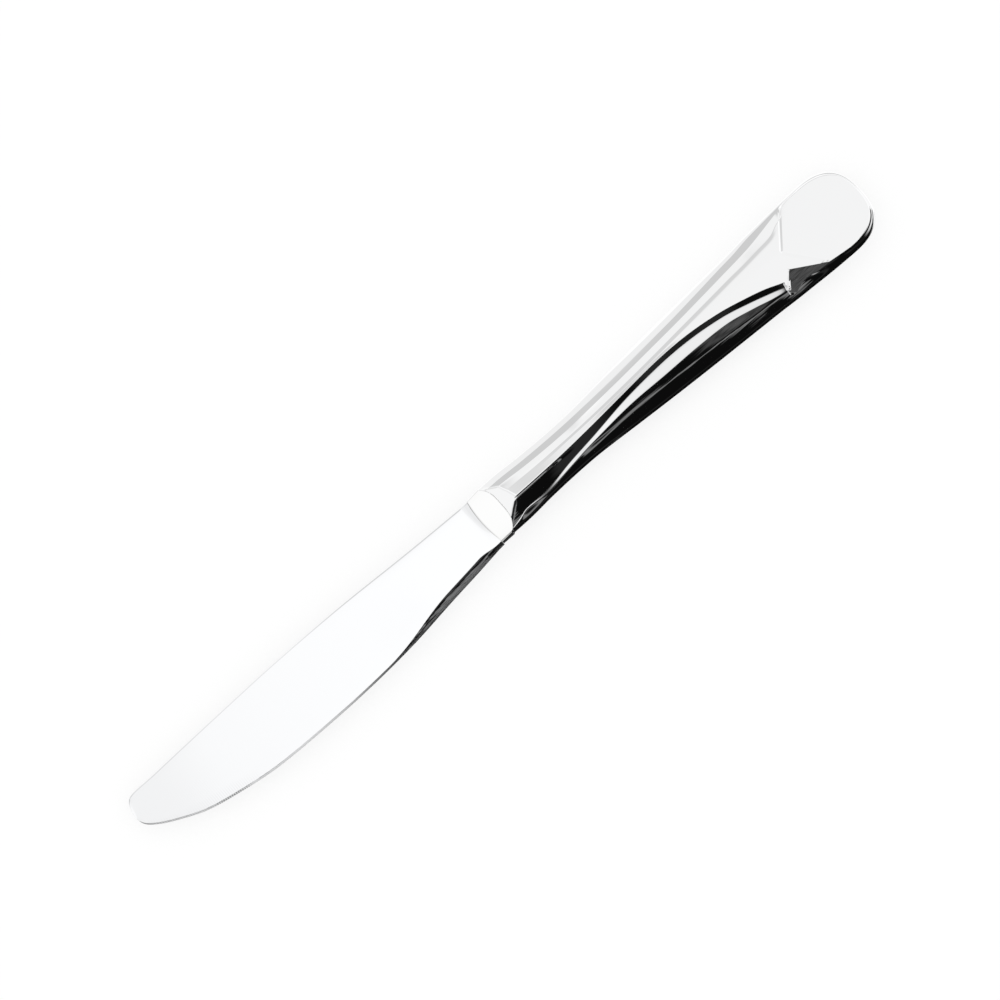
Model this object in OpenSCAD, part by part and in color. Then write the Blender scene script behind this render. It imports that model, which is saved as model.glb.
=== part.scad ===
// Hollow-handled table knife, lying flat with its cutting edge towards -Y and its butt towards +X.
// The ground blade's tang passes through the bolster into two pressed handle shells, where cement holds it.

/* [Overall] */
// Length from the blade's tip to the butt
knife_l = 222; // [200:1:240]

/* [Blade] */
// Length from the tip to the bolster's front
blade_l = 105.2; // [90:0.2:116]
// Reach of the cutting edge below the knife's centre line
edge_drop = 11.7; // [9:0.1:14]
// Reach of the spine above the knife's centre line
spine_rise = 7.5; // [6:0.1:9]
// Height of the tip's foremost point above the centre line
tip_rise = 1.7; // [0.8:0.1:3]
// Thickness at the spine, just in front of the bolster
spine_t = 2.2; // [1.8:0.1:3]
// Thickness at the spine, at the tip
tip_t = 1; // [0.8:0.1:1.4]
// Thickness behind the ground bevel
bevel_t = 0.8; // [0.5:0.1:1]
// Width of the ground bevel along the cutting edge
bevel_w = 0.45; // [0.3:0.05:0.8]
// Thickness of the cutting edge itself
edge_t = 0.08; // [0.04:0.02:0.2]
// Thickness of the blunt heel between the cutting edge and the bolster
heel_t = 1.5; // [1:0.1:1.8]
// Width of the rounding along the heel
heel_w = 1.3; // [0.8:0.1:1.8]
// Chamfer along the spine
spine_chamfer = 0.35; // [0.15:0.05:0.4]
// Length of the fillet where the blade swells into the bolster
root_fillet = 1.9; // [1:0.1:3]
// Thickness of the blade where that fillet ends
root_t = 3; // [2.4:0.1:3.4]

/* [Tang] */
// Length of the tang behind the blade
tang_l = 54; // [40:1:60]
// Width of the tang at the blade
tang_w = 7; // [5:0.2:8]
// Width of the tang at its end
tang_end_w = 4.6; // [3:0.2:5]
// Thickness of the tang
tang_t = 1.8; // [1.2:0.1:2]
// Diameter of the notches that key the tang into the cement
notch_d = 2.4; // [1.6:0.1:3]
// Distance of the first pair of notches from the blade
notch_start = 26; // [20:1:30]
// Distance between the pairs of notches
notch_pitch = 10; // [6:0.5:12]

/* [Bolster] */
// Length along the centre line
bolster_l = 6.4; // [5:0.1:8]
// Width where it meets the handle
bolster_w = 13.3; // [12:0.1:14]
// Width where it meets the blade
bolster_front_w = 13; // [12.4:0.1:13.6]
// Thickness where it meets the handle
bolster_t = 4.4; // [4:0.1:5]
// Thickness where it meets the blade
bolster_front_t = 3.6; // [3.4:0.1:4]
// How far its front bows towards the tip
front_bow = 0.7; // [0.2:0.1:1.2]
// How far its rear bows into the handle's mouth
rear_bow = 2.4; // [1:0.1:3]
// How far its front lies off the centre line, towards the edge
bolster_offset = 0.5; // [0:0.1:0.7]

/* [Handle] */
// Greatest width, at the butt
handle_w = 20.8; // [18:0.2:23]
// Greatest thickness, at the belly
handle_t = 9; // [8:0.2:10]
// Wall of the pressed shells
shell_wall = 0.75; // [0.6:0.05:0.9]
// Thickness of the brazed seam between the shells
seam_t = 0.12; // [0.08:0.02:0.2]
// Length of the rounded end of the butt
butt_round_l = 11; // [9:0.5:13]
// Length of the sloping facet behind the bolster
hip_l = 3.7; // [2.5:0.1:5]
// Distance from the butt to the point of its flat pad
pad_l = 23.5; // [20:0.5:26]
// Thickness of the handle at the point of the pad
pad_front_t = 5.8; // [5.4:0.1:6]
// Thickness of the handle at the far end of the pad
pad_rear_t = 3; // [2.6:0.1:3.4]
// Width of the rim along the handle's sides, outside the stripe
rim_w = 2; // [1.4:0.1:2.4]
// Width of the rim round the end of the butt
end_rim_w = 1; // [0.6:0.1:1.4]
// Width of the narrow stripe beside the rim on the spine side
stripe_w = 1.4; // [0.8:0.1:1.8]
// Height of the rim's upper bend above the seam
rim_bend_h = 0.9; // [0.7:0.05:1]
// Inset of the rim's upper bend from the side
rim_bend_w = 0.5; // [0.3:0.05:0.7]
// Height of the rim's lower bend above the seam
rim_low_h = 0.45; // [0.3:0.05:0.55]
// Inset of the rim's lower bend from the side
rim_low_w = 0.12; // [0.06:0.02:0.2]

/* [Pad notch] */
// Distance from the butt to the corner where the notch starts
notch_back = 27.4; // [26:0.1:29]
// Distance of that corner from the centre line, towards the edge
notch_side = 7.1; // [6.5:0.1:7.6]
// Thickness of the handle at that corner
notch_corner_t = 3; // [2.6:0.1:3.4]
// Turn of the notch's end wall, in degrees
notch_turn = 58; // [50:1:64]
// Rise of the notch's floor along that wall, in degrees
notch_rise = 15; // [12:0.5:18]
// Fall of the notch's floor away from that wall, in degrees
notch_fall = 2.5; // [0:0.5:4]

/* [Cement] */
// Depth of the cement behind the handle's mouth
cement_l = 58; // [52:1:70]
// Gap between the cement and the shells, left as the cement shrinks
cement_gap = 0.03; // [0.02:0.01:0.08]

/* [Hidden] */

steel = "#c9ccd0";
shell_steel = "#b9bdc3";
back_steel = "#9aa0a8";
brazing_alloy = "#c8a24a";
set_cement = "#8c8377";

// Overrun of every cut past what it cuts
overrun = 2;
// Height by which the pressed relief is left above the pad before the pad is cut flat
pad_stock = 0.25;

half_w = handle_w / 2;
half_t = handle_t / 2;
half_seam = seam_t / 2;
mouth_x = blade_l + bolster_l;
handle_x = mouth_x - rear_bow;
handle_l = knife_l - handle_x;
butt_x = knife_l - butt_round_l;
pad_x = knife_l - pad_l;
pad_end_x = knife_l - end_rim_w;
butt_power = 2.6;
butt_inset_share = end_rim_w / rim_w;

// The part's own origin lies under the middle of its box
origin_x = knife_l / 2;
origin_y = (half_w - edge_drop) / 2;

// Stations along the handle, and its half width and ridge height there
station_shares = [0, 0.021, 0.054, 0.11, 0.182, 0.244, 0.347, 0.449,
                  0.531, 0.614, 0.675, 0.716, 0.753, 0.796, 0.849, 0.903];
width_shares = [0.64, 0.64, 0.635, 0.596, 0.577, 0.587, 0.668, 0.745,
                0.798, 0.846, 0.88, 0.904, 0.933, 0.957, 0.986, 1];
height_shares = [0.77, 0.78, 0.8, 0.822, 0.856, 0.889, 0.956, 1,
                 0.989, 0.918, 0.818, 0.75, 0.692, 0.643, 0.592, 0.54];

// Places of the creases across the handle, as shares of its half width, plus towards the spine
bend_shares = [0.18, 0.18, 0.186, 0.2, 0.208, 0.205, 0.2, 0.24,
               0.265, 0.33, 0.377, 0.4, 0.42, 0.52, 0.62, 0.65];
crown_shares = [0.04, 0.04, 0.04, 0.04, 0.045, 0.06, 0.11, 0.16,
                0.165, 0.14, 0.11, 0.09, 0.08, 0.07, 0.06, 0.06];
ridge_shares = [-0.105, -0.108, -0.114, -0.12, -0.117, -0.079, 0.023, 0.085,
                0.063, -0.065, -0.24, -0.367, -0.536, -0.62, -0.66, -0.67];
step_shares = [-0.647, -0.654, -0.667, -0.742, -0.608, -0.4, -0.165, -0.065,
               -0.082, -0.205, -0.383, -0.52, -0.62, -0.69, -0.71, -0.71];
flute_shares = [-0.67, -0.677, -0.697, -0.782, -0.7, -0.54, -0.38, -0.323,
                -0.331, -0.415, -0.557, -0.67, -0.727, -0.745, -0.755, -0.76];
brow_shares = [-0.69, -0.7, -0.72, -0.806, -0.79, -0.738, -0.604, -0.632,
               -0.639, -0.67, -0.71, -0.739, -0.763, -0.784, -0.79, -0.8];

// Heights of the creases, as shares of the ridge height
rim_height_shares = [0.47, 0.47, 0.47, 0.47, 0.48, 0.49, 0.5, 0.5,
                     0.51, 0.52, 0.54, 0.56, 0.6, 0.74, 0.9, 0.92];
stripe_height_shares = [0.7, 0.7, 0.7, 0.7, 0.7, 0.71, 0.71, 0.71,
                        0.72, 0.74, 0.76, 0.78, 0.82, 0.92, 0.98, 1];
bend_height_share = 0.95;
crown_height_shares = [0.975, 0.975, 0.975, 0.975, 0.975, 0.975, 0.98, 0.98,
                       0.985, 0.99, 0.995, 1, 1, 1, 1, 1];
ridge_height_shares = [1, 1, 1, 1, 1, 1, 1, 1, 1, 1, 1, 0.985, 0.955, 0.91, 0.93, 1];
step_height_shares = [0.42, 0.42, 0.42, 0.36, 0.45, 0.56, 0.72, 0.8,
                      0.8, 0.78, 0.76, 0.75, 0.73, 0.85, 0.98, 1];
flute_height_shares = [0.4, 0.4, 0.4, 0.35, 0.42, 0.52, 0.66, 0.72,
                       0.72, 0.7, 0.68, 0.67, 0.64, 0.76, 0.96, 1];
brow_height_shares = [0.38, 0.38, 0.38, 0.34, 0.36, 0.42, 0.5, 0.5,
                      0.5, 0.5, 0.5, 0.52, 0.54, 0.64, 0.88, 0.92];

// Blade outline against the square root of the share of its length, so that the tip comes out round
spine_places = [0, 0.087, 0.151, 0.3, 0.556, 0.664, 0.797, 0.915, 1];
spine_rise_shares = [0, 0.64, 0.845, 0.87, 0.965, 1, 0.95, 0.78, 0.68];
edge_places = [0, 0.087, 0.151, 0.26, 0.365, 0.47, 0.556, 0.664, 0.757, 0.84, 0.915, 0.962, 1];
edge_drop_shares = [0, 0.172, 0.284, 0.493, 0.709, 0.851, 0.937, 1, 0.981, 0.929, 0.806, 0.731, 0.657];
// Share of the blade's length at which the heel starts to thicken, and at which it is full
heel_start_share = 0.64;
heel_full_share = 0.84;

// Rows along each form, and points round the bolster
handle_rows = 52;
butt_rows = 12;
blade_rows = 44;
bolster_rows = 10;
bolster_points = 40;
mouth_points = 9;
first_blade_place = 0.02;
bolster_power = 2.4;
mouth_power = 3.5;

function span_of(xs, x, i = 0) = i >= len(xs) - 2 || x < xs[i + 1] ? i : span_of(xs, x, i + 1);
function slope_at(xs, ys, i) =
    let (a = max(i - 1, 0), b = min(i + 1, len(xs) - 1)) (ys[b] - ys[a]) / (xs[b] - xs[a]);
// Smooth curve through hand-chosen points
function curve(xs, ys, x) =
    let (i = span_of(xs, x), w = xs[i + 1] - xs[i], t = (x - xs[i]) / w)
    ys[i] * (2 * t * t * t - 3 * t * t + 1) + ys[i + 1] * (3 * t * t - 2 * t * t * t)
    + w * slope_at(xs, ys, i) * (t * t * t - 2 * t * t + t)
    + w * slope_at(xs, ys, i + 1) * (t * t * t - t * t);
function blend(a, b, t) = a + (b - a) * t;
function ease(t) = let (u = min(max(t, 0), 1)) u * u * (3 - 2 * u);
function rounded(v, power) = pow(max(1 - pow(abs(v), power), 0), 1 / power);

// Handle: planes that trim the relief, at any place along it
function hip_z(x) = blend(bolster_t / 2, half_t * height_shares[2], max(x - mouth_x, 0) / hip_l);
function pad_z(x) = blend(pad_front_t, pad_rear_t, (x - pad_x) / (pad_end_x - pad_x)) / 2;
function notch_z(p) =
    let (x = p[0] - knife_l + notch_back, y = p[1] + notch_side,
         along = x * cos(notch_turn) + y * sin(notch_turn), behind = x * sin(notch_turn) - y * cos(notch_turn))
    behind < -shell_wall ? handle_t : notch_corner_t / 2 + along * tan(notch_rise) - behind * tan(notch_fall);
function side_y(s) = half_w * curve(station_shares, width_shares, s);
function ridge_z(s) = half_t * curve(station_shares, height_shares, s);

// One row of points across the front shell, from the spine side's rim to the edge side's
function crease(s, places, heights) =
    [handle_x + s * handle_l, side_y(s) * curve(station_shares, places, s),
     ridge_z(s) * curve(station_shares, heights, s)];
function rim_row(s, side) =
    [for (p = [[0, half_seam], [rim_low_w, rim_low_h], [rim_bend_w, rim_bend_h]])
        [handle_x + s * handle_l, side * (side_y(s) - p[0]), p[1]]];
function stripe_point(s, inset, heights) =
    [handle_x + s * handle_l, side_y(s) - inset, ridge_z(s) * curve(station_shares, heights, s)];
function body_row(s) =
    let (spine_rim = rim_row(s, 1), edge_rim = rim_row(s, -1))
    [spine_rim[0], spine_rim[1], spine_rim[2],
     stripe_point(s, rim_w, rim_height_shares),
     stripe_point(s, rim_w + stripe_w, stripe_height_shares),
     [handle_x + s * handle_l, side_y(s) * curve(station_shares, bend_shares, s), ridge_z(s) * bend_height_share],
     crease(s, crown_shares, crown_height_shares),
     crease(s, ridge_shares, ridge_height_shares),
     crease(s, step_shares, step_height_shares),
     crease(s, flute_shares, flute_height_shares),
     crease(s, brow_shares, brow_height_shares),
     edge_rim[2], edge_rim[1], edge_rim[0]];
rails = 14;
pad_rail = 3;

// Rounded end of the butt: the rim rails follow the outline and the others close in on the pad's far end
function butt_point(inset, turn) =
    [butt_x + (butt_round_l - inset * butt_inset_share) * pow(cos(turn), 2 / butt_power),
     (half_w - inset) * pow(sin(turn), 2 / butt_power)];
function butt_rail(k, turn) =
    let (side = k <= pad_rail ? 1 : -1, n = min(k, rails - 1 - k),
         inset = [0, rim_low_w, rim_bend_w, rim_w][n],
         p = butt_point(inset, turn),
         z = [half_seam, rim_low_h, rim_bend_h, pad_z(p[0]) + pad_stock / 2][n])
    [p[0], side * p[1], z];
function butt_row(turn) =
    let (edge = butt_rail(pad_rail, turn), last_row = body_row(last_share))
    [for (k = [0 : rails - 1])
        k <= pad_rail || k >= rails - 1 - pad_rail ? butt_rail(k, turn)
        : [edge[0], edge[1] * last_row[k][1] / last_row[pad_rail][1], pad_z(edge[0]) + pad_stock]];

last_share = station_shares[len(station_shares) - 1];
body_shares = [for (j = [0 : handle_rows - 1]) blend(-overrun / handle_l, last_share, j / handle_rows)];
butt_turns = [for (j = [0 : butt_rows]) 90 * (1 - j / butt_rows)];
shell_rows = concat([for (s = body_shares) body_row(s)], [for (a = butt_turns) butt_row(a)]);

// The same points drawn in by a wall, for the inside of the shells
function drawn_in(p, wall) =
    let (w = p[0] > butt_x ? half_w : side_y((p[0] - handle_x) / handle_l),
         top = min(p[2], hip_z(p[0]), pad_z(p[0]), notch_z(p)))
    [p[0] > butt_x ? butt_x + (p[0] - butt_x) * (butt_round_l - wall) / butt_round_l : p[0],
     p[1] * (w - wall) / w, max(half_seam, top - wall)];
lining_rows = [for (row = shell_rows) [for (p = row) drawn_in(p, shell_wall)]];

last = len(shell_rows) - 1;
// In the last row all points of one side fall on those of the other
function at(j, k) = j < last ? j * rails + k : j * rails + min(k, rails - 1 - k, pad_rail);
function tris(quad) =
    [for (t = [[quad[0], quad[1], quad[2]], [quad[0], quad[2], quad[3]]])
        if (t[0] != t[1] && t[1] != t[2] && t[0] != t[2]) t];
function flat_list(lists) = [for (l = lists) for (item = l) item];

module shell_form() {
    inside = (last + 1) * rails;
    skin = [for (j = [0 : last - 1]) for (k = [0 : rails - 2])
        tris([at(j, k), at(j + 1, k), at(j + 1, k + 1), at(j, k + 1)])];
    lining = [for (j = [0 : last - 1]) for (k = [0 : rails - 2])
        tris([for (c = [[j, k], [j, k + 1], [j + 1, k + 1], [j + 1, k]]) at(c[0], c[1]) + inside])];
    seam = [for (j = [0 : last - 1])
        for (c = [[j + 1, 0, j, 0], [j, rails - 1, j + 1, rails - 1]])
            tris([at(c[0], c[1]), at(c[2], c[3]), at(c[2], c[3]) + inside, at(c[0], c[1]) + inside])];
    mouth = [for (k = [0 : rails - 2]) tris([at(0, k), at(0, k + 1), at(0, k + 1) + inside, at(0, k) + inside])];
    polyhedron(points = concat(flat_list(shell_rows), flat_list(lining_rows)),
        faces = flat_list(concat(skin, lining, seam, mouth)));
}

// The bolster's front and rear in plan: the rear bows into the handle's mouth
function rear_x(y) = mouth_x - rear_bow * pow(abs(2 * y / bolster_w), mouth_power);
function front_x(y) = blade_l + front_bow * pow(2 * y / bolster_w, 2);
plan_side = (bolster_w + overrun) / 2;
plan_ys = [for (i = [-mouth_points : mouth_points]) plan_side * i / mouth_points];

module bolster_plan() {
    polygon(concat([for (y = plan_ys) [front_x(y), y]],
        [for (i = [len(plan_ys) - 1 : -1 : 0]) [rear_x(plan_ys[i]), plan_ys[i]]]));
}

// Takes the handle's mouth back to the bolster's rear
module mouth_cut() {
    linear_extrude(height = handle_t + 2 * overrun, center = true)
        polygon(concat([[blade_l, -plan_side]], [for (y = plan_ys) [rear_x(y), y]], [[blade_l, plan_side]]));
}

// Takes the blade's root back to the bolster's front
module root_cut() {
    linear_extrude(height = handle_t + 2 * overrun, center = true)
        polygon(concat([[mouth_x, plan_side]],
            [for (i = [len(plan_ys) - 1 : -1 : 0]) [front_x(plan_ys[i]), plan_ys[i]]], [[mouth_x, -plan_side]]));
}

module hip_cut() {
    rise = half_t * height_shares[2] - bolster_t / 2;
    translate([mouth_x, -handle_w / 2, bolster_t / 2])
        rotate([0, -atan2(rise, hip_l), 0])
            translate([-handle_t, 0, 0])
                cube([2 * handle_t, handle_w, handle_t]);
}

module pad_cut() {
    fall = (pad_front_t - pad_rear_t) / 2;
    translate([pad_x, -handle_w, pad_front_t / 2])
        rotate([0, atan2(fall, pad_end_x - pad_x), 0])
            translate([-handle_t, 0, 0])
                cube([pad_l + 2 * handle_t, 2 * handle_w, handle_t]);
}

module pad_notch_cut() {
    translate([knife_l - notch_back, -notch_side, notch_corner_t / 2])
        rotate([0, 0, notch_turn])
            rotate([notch_fall, -notch_rise, 0])
                translate([-handle_w / 2, -pad_l, 0])
                    cube([handle_w, pad_l, handle_t]);
}

module handle_shell() {
    difference() {
        shell_form();
        mouth_cut();
        hip_cut();
        pad_cut();
        pad_notch_cut();
    }
}

// Blade sections: eight points round each, with the faces meeting at a chamfered spine and a ground edge
function blade_row(q) =
    let (x = blade_l * q * q + front_bow * q,
         share = x / blade_l,
         heel = ease((share - heel_start_share) / (heel_full_share - heel_start_share)),
         root = ease((x - blade_l + root_fillet) / root_fillet),
         top = tip_rise + (spine_rise - tip_rise) * curve(spine_places, spine_rise_shares, q),
         low = tip_rise - (edge_drop + tip_rise) * curve(edge_places, edge_drop_shares, q),
         reach = top - low,
         spine_z = blend(blend(tip_t, spine_t, share), root_t, root) / 2,
         bevel_z = blend(blend(bevel_t, heel_t, heel), root_t, root) / 2,
         edge_z = blend(edge_t, heel_t - spine_chamfer, heel) / 2,
         chamfer = min(spine_chamfer, reach / 4),
         bevel = min(blend(bevel_w, heel_w, heel), reach / 4))
    [[x, top, spine_z - chamfer], [x, top - chamfer, spine_z], [x, low + bevel, bevel_z], [x, low, edge_z],
     [x, low, -edge_z], [x, low + bevel, -bevel_z], [x, top - chamfer, -spine_z],
     [x, top, chamfer - spine_z]];

// A closed skin round rows of points, each row a ring
module ring_loft(rows) {
    n = len(rows[0]);
    sides = [for (j = [0 : len(rows) - 2]) for (k = [0 : n - 1])
        tris([j * n + k, (j + 1) * n + k, (j + 1) * n + (k + 1) % n, j * n + (k + 1) % n])];
    ends = [[for (k = [0 : n - 1]) k], [for (k = [n - 1 : -1 : 0]) (len(rows) - 1) * n + k]];
    polyhedron(points = flat_list(rows), faces = concat(flat_list(sides), ends));
}

module tang_plan() {
    start = blade_l - overrun;
    end = blade_l + tang_l;
    difference() {
        union() {
            polygon([[start, -tang_w / 2], [mouth_x, -tang_w / 2], [end - tang_end_w / 2, -tang_end_w / 2],
                     [end - tang_end_w / 2, tang_end_w / 2], [mouth_x, tang_w / 2], [start, tang_w / 2]]);
            translate([end - tang_end_w / 2, 0])
                circle(d = tang_end_w, $fn = 48);
        }
        for (i = [0, 1], side = [-1, 1])
            translate([blade_l + notch_start + i * notch_pitch, side * tang_w / 2])
                circle(d = notch_d, $fn = 48);
    }
}

module tang() {
    linear_extrude(height = tang_t, center = true)
        tang_plan();
}

module in_frame() {
    translate([-origin_x, -origin_y, half_t])
        children();
}

module blade() {
    color(steel) in_frame() union() {
        difference() {
            ring_loft([for (j = [0 : blade_rows]) blade_row(blend(first_blade_place, 1, j / blade_rows))]);
            root_cut();
        }
        tang();
    }
}

function bolster_row(share) =
    let (x = blend(blade_l - overrun, mouth_x + overrun, share), place = min(max((x - blade_l) / bolster_l, 0), 1),
         half = blend(bolster_front_w, bolster_w, place) / 2,
         z = blend(bolster_front_t, bolster_t, sin(90 * place)) / 2,
         y = -bolster_offset * (1 - place))
    [for (i = [0 : bolster_points - 1])
        let (turn = 360 * (i + 0.5) / bolster_points, c = cos(turn), s = sin(turn))
        [x, y + half * sign(c) * pow(abs(c), 2 / bolster_power), z * sign(s) * pow(abs(s), 2 / bolster_power)]];

module bolster() {
    color(steel) in_frame() difference() {
        intersection() {
            ring_loft([for (j = [0 : bolster_rows]) bolster_row(j / bolster_rows)]);
            linear_extrude(height = handle_t, center = true)
                bolster_plan();
        }
        tang();
    }
}

module front_handle_shell() {
    color(shell_steel) in_frame() handle_shell();
}

module back_handle_shell() {
    color(back_steel) in_frame() mirror([0, 0, 1]) handle_shell();
}

module seam_braze() {
    outer = concat([for (row = shell_rows) [row[0][0], row[0][1]]],
        [for (j = [last - 1 : -1 : 0]) [shell_rows[j][rails - 1][0], shell_rows[j][rails - 1][1]]]);
    inner = concat([for (row = lining_rows) [row[0][0], row[0][1]]],
        [for (j = [last - 1 : -1 : 0]) [lining_rows[j][rails - 1][0], lining_rows[j][rails - 1][1]]]);
    color(brazing_alloy) in_frame() difference() {
        linear_extrude(height = seam_t, center = true)
            difference() {
                polygon(outer);
                polygon(inner);
            }
        mouth_cut();
    }
}

function cement_ring(s) =
    let (wall = shell_wall + cement_gap, row = [for (p = body_row(s)) drawn_in(p, wall)],
         top = [for (k = [2 : rails - 3]) row[k]], n = len(top))
    concat([[row[0][0], row[0][1], 0]], top, [[row[rails - 1][0], row[rails - 1][1], 0]],
        [for (k = [n - 1 : -1 : 0]) [top[k][0], top[k][1], -top[k][2]]]);

module handle_cement() {
    end_share = (mouth_x + cement_l - handle_x) / handle_l;
    color(set_cement) in_frame() difference() {
        ring_loft(concat([cement_ring(end_share)],
            [for (j = [handle_rows - 1 : -1 : 0])
                if (body_shares[j] < end_share - 1 / (3 * handle_rows)) cement_ring(body_shares[j])]));
        mouth_cut();
        tang();
    }
}

blade();
bolster();
front_handle_shell();
back_handle_shell();
seam_braze();
handle_cement();
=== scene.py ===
from math import cos, degrees, pi, radians, sin, sqrt, tan

import bpy
from mathutils import Matrix, Vector


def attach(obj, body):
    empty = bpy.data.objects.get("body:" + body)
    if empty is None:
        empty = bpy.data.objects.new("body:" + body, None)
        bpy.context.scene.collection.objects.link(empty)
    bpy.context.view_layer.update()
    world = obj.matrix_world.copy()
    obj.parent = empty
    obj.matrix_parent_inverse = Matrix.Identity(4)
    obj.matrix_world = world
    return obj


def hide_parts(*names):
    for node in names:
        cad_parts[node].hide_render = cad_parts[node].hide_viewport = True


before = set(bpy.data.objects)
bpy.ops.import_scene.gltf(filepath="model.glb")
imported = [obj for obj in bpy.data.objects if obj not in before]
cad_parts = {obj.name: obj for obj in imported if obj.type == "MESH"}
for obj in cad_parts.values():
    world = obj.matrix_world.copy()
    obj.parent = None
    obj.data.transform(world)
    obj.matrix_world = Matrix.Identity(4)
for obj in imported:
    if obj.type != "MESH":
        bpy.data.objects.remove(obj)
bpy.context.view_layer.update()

# Camera: a long lens high above the knife, leaning 12.5 degrees towards its cutting edge, and turned so
# that the blade's tip lies at the lower left and the butt at the upper right.
mm = 0.001
lean = radians(12.5)
roll = radians(41.5)
knife_middle = 4.5 * mm
photo_centre = Vector((0.96 * mm, 2.05 * mm, knife_middle))
across_photo = 231.5 * mm
lens = 150
film_width = 36
camera_distance = across_photo * lens / film_width
knife_up = Vector((0, cos(lean), sin(lean)))
towards_camera = Vector((0, -sin(lean), cos(lean)))
image_right = cos(roll) * Vector((1, 0, 0)) - sin(roll) * knife_up
image_up = sin(roll) * Vector((1, 0, 0)) + cos(roll) * knife_up
bpy.ops.object.select_all(action="DESELECT")
bpy.ops.object.camera_add(location=photo_centre + camera_distance * towards_camera)
camera = bpy.context.object
camera.name = "camera"
turned = Matrix((image_right, image_up, towards_camera)).transposed()
camera.rotation_euler = turned.to_euler()
camera.data.lens = lens
camera.data.sensor_width = film_width
camera.data.clip_start = 0.01
camera.data.clip_end = 60
bpy.context.scene.camera = camera

# Floor: the plain white table top that the knife lies on. Part of its white is light of its own that only
# cameras and mirrors see. The rest is lit, so it keeps the knife's soft shadow.
floor_width = 24
floor_gap = 0.02 * mm
table_white = (0.26, 0.26, 0.26, 1)
own_light = 0.75
bpy.ops.mesh.primitive_plane_add(size=floor_width, location=(0, 0, -floor_gap))
floor = bpy.context.object
floor.name = "floor"


def work_in(tree):
    """Let the node helpers add to this tree from now on."""
    global nodes, links
    nodes = tree.nodes
    links = tree.links


def new_material(name):
    """A fresh material, whose tree the node helpers then work in."""
    material = bpy.data.materials.new(name)
    material.use_nodes = True
    work_in(material.node_tree)
    return material


def feed(socket, value):
    """Link a socket to another one, or set a plain value on it."""
    if isinstance(value, bpy.types.NodeSocket):
        links.new(value, socket)
    else:
        socket.default_value = value


def math_node(operation, *values):
    """A Math node of the current tree, fed by sockets or plain numbers."""
    node = nodes.new("ShaderNodeMath")
    node.operation = operation
    for k, value in enumerate(values):
        feed(node.inputs[k], value)
    return node.outputs[0]


floor_paint = new_material("white_table_top")
nodes.clear()
painted = nodes.new("ShaderNodeBsdfDiffuse")
painted.inputs["Color"].default_value = table_white
glow = nodes.new("ShaderNodeEmission")
rays = nodes.new("ShaderNodeLightPath").outputs
seen = math_node("MAXIMUM", rays["Is Camera Ray"], rays["Is Glossy Ray"])
seen = math_node("MAXIMUM", seen, rays["Is Transmission Ray"])
links.new(math_node("MULTIPLY", seen, own_light), glow.inputs["Strength"])
both = nodes.new("ShaderNodeAddShader")
links.new(painted.outputs[0], both.inputs[0])
links.new(glow.outputs[0], both.inputs[1])
surface = nodes.new("ShaderNodeOutputMaterial")
links.new(both.outputs[0], surface.inputs["Surface"])
floor.data.materials.append(floor_paint)
# The steel mirrors the light tent below it too, and not the floor
floor.visible_glossy = False

# Room: white all round, so the floor's shadow stays soft.
world = bpy.data.worlds.new("white_room")
bpy.context.scene.world = world
world.use_nodes = True
world.node_tree.nodes["Background"].inputs["Color"].default_value = (1, 1, 1, 1)
world.node_tree.nodes["Background"].inputs["Strength"].default_value = 1
bpy.context.scene.view_settings.view_transform = "Standard"

# Light tent: a long tube round the knife that only its polished steel sees. White cloth hangs overhead and
# down the spine's side, with grey stripes in it. On the cutting edge's side stand a wide black card with
# pale slits beside the handle and a narrow one beside the blade. The far ends have tones of their own.
tent_radius = 0.6
tent_length = 5
bpy.ops.mesh.primitive_cylinder_add(vertices=96, radius=tent_radius, depth=tent_length,
                                    end_fill_type="NOTHING", rotation=(0, pi / 2, 0),
                                    location=(0, 0, knife_middle))
tent = bpy.context.object
tent.name = "light_tent"
bpy.ops.object.transform_apply(location=True, rotation=True, scale=True)


def place_on_piece():
    """The place on the piece, in metres in the knife's frame."""
    return nodes.new("ShaderNodeTexCoord").outputs["Object"]


def place_parts():
    """The place on the piece as its X, Y and Z."""
    split = nodes.new("ShaderNodeSeparateXYZ")
    links.new(place_on_piece(), split.inputs[0])
    return split.outputs


def map_range(value, from_low, from_high, to_low, to_high):
    """A value carried over from one range to another, and held at its ends."""
    node = nodes.new("ShaderNodeMapRange")
    for k, end in enumerate((from_low, from_high, to_low, to_high)):
        node.inputs[k + 1].default_value = end
    links.new(value, node.inputs[0])
    return node.outputs["Result"]


def tone_ramp(value, low, high, stops):
    """Greys through listed tones, each at its place between a low and a high value."""
    ramp = nodes.new("ShaderNodeValToRGB")
    for k, (place, tone) in enumerate(stops):
        share = (place - low) / (high - low)
        stop = ramp.color_ramp.elements[k] if k < 2 else ramp.color_ramp.elements.new(share)
        stop.position = share
        stop.color = (tone, tone, tone, 1)
    links.new(map_range(value, low, high, 0, 1), ramp.inputs["Fac"])
    return ramp.outputs["Color"]


def mixed(factor, a, b, blend_type="MIX"):
    """A Mix node of two colours, each a socket or a plain colour."""
    node = nodes.new("ShaderNodeMix")
    node.data_type = "RGBA"
    node.blend_type = blend_type
    feed(node.inputs["Factor"], factor)
    feed(node.inputs["A"], a)
    feed(node.inputs["B"], b)
    return node.outputs["Result"]


cloth = new_material("tent_cloth")
cloth.cycles.emission_sampling = "NONE"
nodes.clear()
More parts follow.
